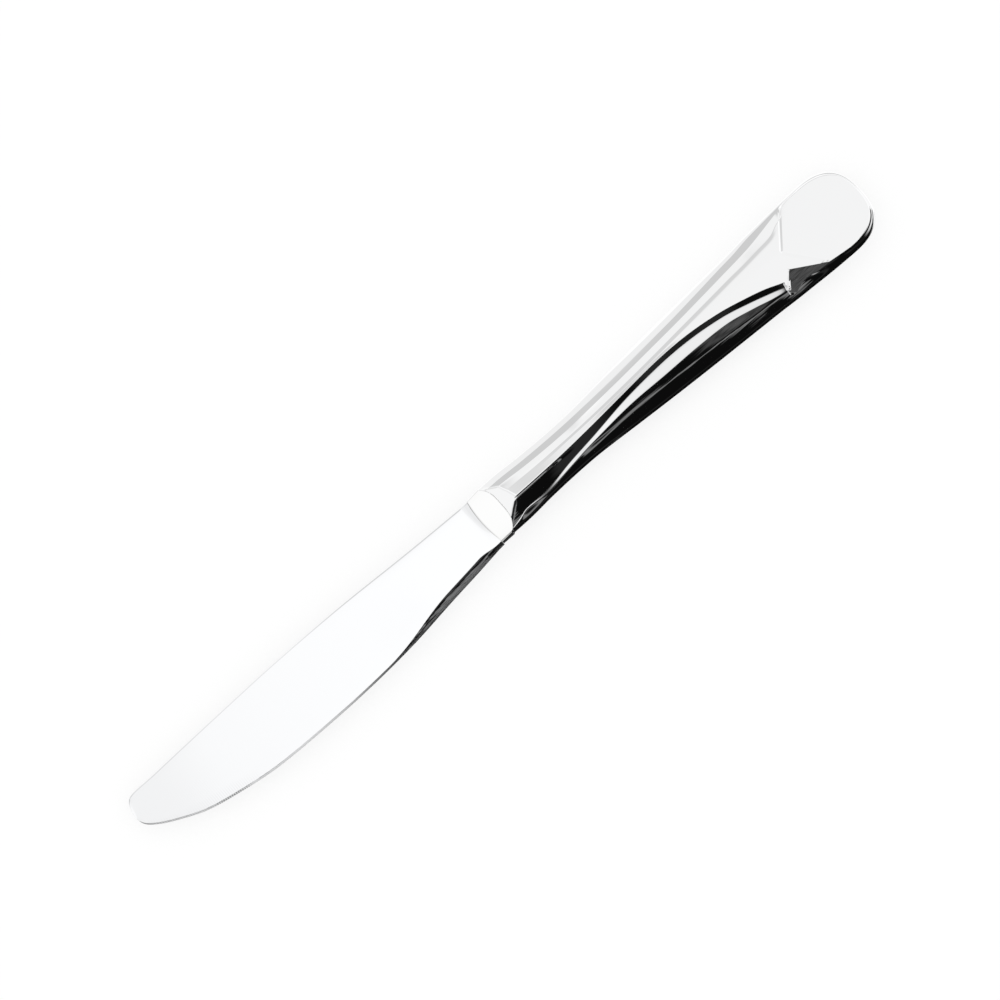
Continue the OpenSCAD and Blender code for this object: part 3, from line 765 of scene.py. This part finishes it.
def blend(a, b, t):
    return a + (b - a) * t


def blade_front(y):
    """Where the blade meets the bolster."""
    return blade_length + front_bow * (2 * y / bolster_width) ** 2


def blade_ring(q):
    """The blade's section, from the middle of the spine round the upper face and back below."""
    x = blade_length * q * q + front_bow * q + tip_inset * (1 - q)
    share = x / blade_length
    heel = eased((share - heel_from) / heel_over)
    root = max(0, (x - blade_length + root_fillet) / root_fillet) ** 2
    top = tip_rise + (spine_rise - tip_rise) * curve(spine_places, spine_shares, q)
    low = tip_rise - (edge_drop + tip_rise) * curve(edge_places, edge_shares, q)
    teeth = eased((x - teeth_from) / teeth_grow) * eased((teeth_to - x) / teeth_fade)
    low += tooth_depth * teeth * (0.5 - 0.5 * cos(2 * pi * x / tooth_pitch))
    spine_z = blend(blend(tip_thickness, spine_thickness, share), root_thickness, root) / 2
    edge_side = blend(bevel_thickness, heel_thickness, heel)
    bevel_z = blend(edge_side, root_thickness, bevel_root_share * root) / 2
    fit = min(1, (top - low) / full_reach)
    narrowed = eased((x - blade_length + narrowing_length) / narrowing_length)
    heel_w = heel_width * (1 - heel_narrowing * narrowed)
    corners = [(top, 0), (top, spine_z - chamfer_drop * fit), (top - chamfer_width * fit, spine_z),
               (low + blend(bevel_width, heel_w, heel) * fit, bevel_z)]
    for width, thickness_share, heel_share, heel_drop in bevel_bends:
        corners.append((low + blend(width, heel_w * heel_share, heel) * fit,
                        blend(thickness_share * bevel_z, bevel_z - heel_drop, heel)))
    corners += [(low, edge_thickness / 2), (low, 0)]
    soft = blend(bevel_softness, heel_softness, heel)
    softness = spine_softness + [soft, soft, edge_softness]
    line = softened([(x, y, z) for y, z in corners], softness, 2, blade_parts)
    lower = [Vector((p.x, p.y, -p.z)) for p in reversed(line)]
    return line + lower[1:]


# The rows follow q, which grows as the square root of the way from the tip, so that the nose comes out
# round. They lie closer where the teeth are, and closest at the nose.
tooth_pace, plain_pace, nose_pace, pace_growth = 0.11, 0.3, 0.02, 0.2
teeth_end = 36
blade_rings = []
first_q = 0.004
last_q = (sqrt(front_bow ** 2 + 4 * blade_length ** 2) - front_bow) / (2 * blade_length)
q = first_q
while q < last_q:
    blade_rings.append(blade_ring(q))
    x = blade_length * q * q + front_bow * q
    pace = tooth_pace if x < teeth_end else plain_pace
    pace = min(pace, nose_pace + x * pace_growth)
    q += pace / (2 * blade_length * q + front_bow)
blade_rings.append(blade_ring(last_q))
blade = drawn_sheet("blade_ground", blade_rings)
# The root's last millimetre follows the bolster's bowed front
bowed_length = 1
for v in blade.data.vertices:
    y = v.co.y / mm - into_frame.y
    x = v.co.x / mm - into_frame.x
    if x > blade_length - bowed_length:
        v.co.x += (x - blade_length + bowed_length) * (blade_front(y) - blade_length) * mm
bpy.ops.object.mode_set(mode="EDIT")
bpy.ops.mesh.select_all(action="SELECT")
bpy.ops.mesh.remove_doubles(threshold=merge_gap)
bpy.ops.mesh.select_mode(type="EDGE")
bpy.ops.mesh.select_all(action="DESELECT")
bpy.ops.mesh.select_non_manifold()
bpy.ops.mesh.edge_face_add()
bpy.ops.mesh.select_all(action="SELECT")
bpy.ops.mesh.normals_make_consistent(inside=False)
bpy.ops.object.mode_set(mode="OBJECT")
# The tang goes on from the root inside the handle: a tapered bar with a round end, and two pairs of round
# notches that key it into the cement
tang_length, tang_width, tang_end_width, tang_thickness = 54, 7, 4.6, 1.8
tang_lap = 0.8
tang_end = blade_length + tang_length - tang_end_width / 2
key_width = 2.4
key_places = [blade_length + 26, blade_length + 36]
bpy.ops.object.select_all(action="DESELECT")
bpy.ops.mesh.primitive_cube_add(size=1)
tang = bpy.context.object
tang.name = "tang"
for v in tang.data.vertices:
    x = blade_length - tang_lap if v.co.x < 0 else tang_end
    w = tang_width if v.co.x < 0 else tang_end_width
    v.co = (Vector((x, v.co.y * w, v.co.z * tang_thickness)) + into_frame) * mm
tools = [("UNION", tang_end, 0, tang_end_width / 2, tang_thickness)]
tools += [("DIFFERENCE", x, side * tang_width / 2, key_width / 2, 3 * tang_thickness)
          for x in key_places for side in (-1, 1)]
for operation, x, y, r, depth in tools:
    bpy.ops.object.select_all(action="DESELECT")
    bpy.ops.mesh.primitive_cylinder_add(vertices=48, radius=r * mm, depth=depth * mm,
                                        location=(Vector((x, y, 0)) + into_frame) * mm)
    combine(tang, operation, bpy.context.object)
combine(blade, "UNION", tang)
bpy.ops.object.shade_smooth_by_angle(angle=radians(10))
# The blade's polishing marks are deeper than the handle's. The bevels of its edge, close to its middle
# plane, are left rough from grinding.
blade_steel = polished("blade_mirror_steel", (0.925, 0.93, 0.94, 1), scale=2.5 * mm)
bevel_roughness = 0.2
from_middle = math_node("ABSOLUTE", math_node("SUBTRACT", place_parts()["Z"], into_frame.z * mm))
ground = map_range(from_middle, 0.36 * mm, 0.39 * mm, bevel_roughness, 0)
roughness = math_node("MAXIMUM", nodes["marks"].outputs["Roughness"], ground)
links.new(roughness, nodes["Principled BSDF"].inputs["Roughness"])
blade.data.materials.clear()
blade.data.materials.append(blade_steel)
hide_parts("blade")
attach(blade, "root")

# Bolster: the collar between blade and handle, pressed from stainless steel, domed a little and polished.
# The tang passes through it, and it closes the handle's mouth.
corner_radius = 0.42
dome = 0.12
corner_steps, face_steps = 8, 12
# Each end's width, thickness and shift from the middle line
bolster_front = (12.8, 3.36, -0.3)
bolster_rear = (12.95, 4.4, -0.12)


def bolster_ring(t, shrink, height_share):
    """A rounded oblong with a domed face, at a share of the way to the rear. It shrinks at the ends."""
    w, h, off = [blend(a, b, t) for a, b in zip(bolster_front, bolster_rear)]
    a, b, r = w / 2 - shrink, h / 2 - shrink, corner_radius
    upper = []
    for k in range(corner_steps + 1):
        turn = (pi / 2) * k / corner_steps
        upper.append((a - r + r * cos(turn), b - dome - r + r * sin(turn)))
    for k in range(1, 2 * face_steps):
        y = (a - r) * (1 - k / face_steps)
        upper.append((y, b - dome * (y / (a - r)) ** 4))
    for k in range(corner_steps + 1):
        turn = (pi / 2) * (1 + k / corner_steps)
        upper.append((r - a + r * cos(turn), b - dome - r + r * sin(turn)))
    ring = upper + [(y, -z) for y, z in reversed(upper)]
    ring.append(ring[0])
    return [Vector((blend(blade_front(y + off), mouth_rear(y + off), t), y + off, z * height_share))
            for y, z in ring]


# Rings from front to rear, each with its share of the way, how far it shrinks and a share of its height. The
# first and the last are pressed flat, which closes the ends.
front_edge = [(0, 0.19, 0), (0, 0.19, 1), (0.036, 0.02, 1), (0.048, 0, 1)]
rear_edge = [(0.985, 0.03, 1), (0.997, 0.1, 1), (1, 0.2, 1), (1, 0.2, 0)]
face_from, face_over, face_rows = 0.048, 0.912, 28
face = [(face_from + face_over * j / face_rows, 0, 1) for j in range(1, face_rows + 1)]
bolster = drawn_sheet("bolster_polished", [bolster_ring(*row) for row in front_edge + face + rear_edge])
bpy.ops.object.mode_set(mode="EDIT")
bpy.ops.mesh.select_all(action="SELECT")
bpy.ops.mesh.remove_doubles(threshold=merge_gap)
bpy.ops.mesh.normals_make_consistent(inside=False)
bpy.ops.object.mode_set(mode="OBJECT")
bpy.ops.object.shade_smooth_by_angle(angle=radians(30))
bolster.data.materials.append(polished("bolster_mirror_steel", (0.935, 0.935, 0.932, 1)))
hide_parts("bolster")
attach(bolster, "root")

# Seam braze: the thin line of silver-bronze brazing alloy that joins the two shells round their rims,
# cleaned flush with them. It has a slightly grainy, warm grey surface.
braze_metal = new_material("brazing_alloy_surface")
polish = nodes["Principled BSDF"]
polish.inputs["Metallic"].default_value = 1
clouds = stretched_noise(along=900, across=2500, detail=4)
braze_grey, braze_gold = (0.74, 0.7, 0.6, 1), (0.85, 0.82, 0.74, 1)
links.new(mixed(clouds, braze_grey, braze_gold), polish.inputs["Base Color"])
links.new(map_range(clouds, 0.3, 0.7, 0.16, 0.34), polish.inputs["Roughness"])
grain_depth = 0.006
grain = stretched_noise(along=6000, across=6000, detail=2)
set_relief(polish, math_node("MULTIPLY", grain, grain_depth))
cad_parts["seam_braze"].data.materials.clear()
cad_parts["seam_braze"].data.materials.append(braze_metal)

# Handle cement: the filling poured round the tang before the handle was pushed on, set hard inside. It is a
# dull sandy mass with fine pores.
cement = new_material("set_cement")
polish = nodes["Principled BSDF"]
sand = stretched_noise(along=2600, across=2600, detail=5)
dark_sand, pale_sand = (0.33, 0.3, 0.25, 1), (0.55, 0.51, 0.44, 1)
links.new(mixed(map_range(sand, 0.35, 0.65, 0, 1), dark_sand, pale_sand), polish.inputs["Base Color"])
links.new(map_range(sand, 0.3, 0.7, 0.95, 0.8), polish.inputs["Roughness"])
pore_depth = 0.05
pores = stretched_noise(along=5200, across=5200, detail=3)
set_relief(polish, math_node("MULTIPLY", pores, pore_depth))
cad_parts["handle_cement"].data.materials.clear()
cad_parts["handle_cement"].data.materials.append(cement)
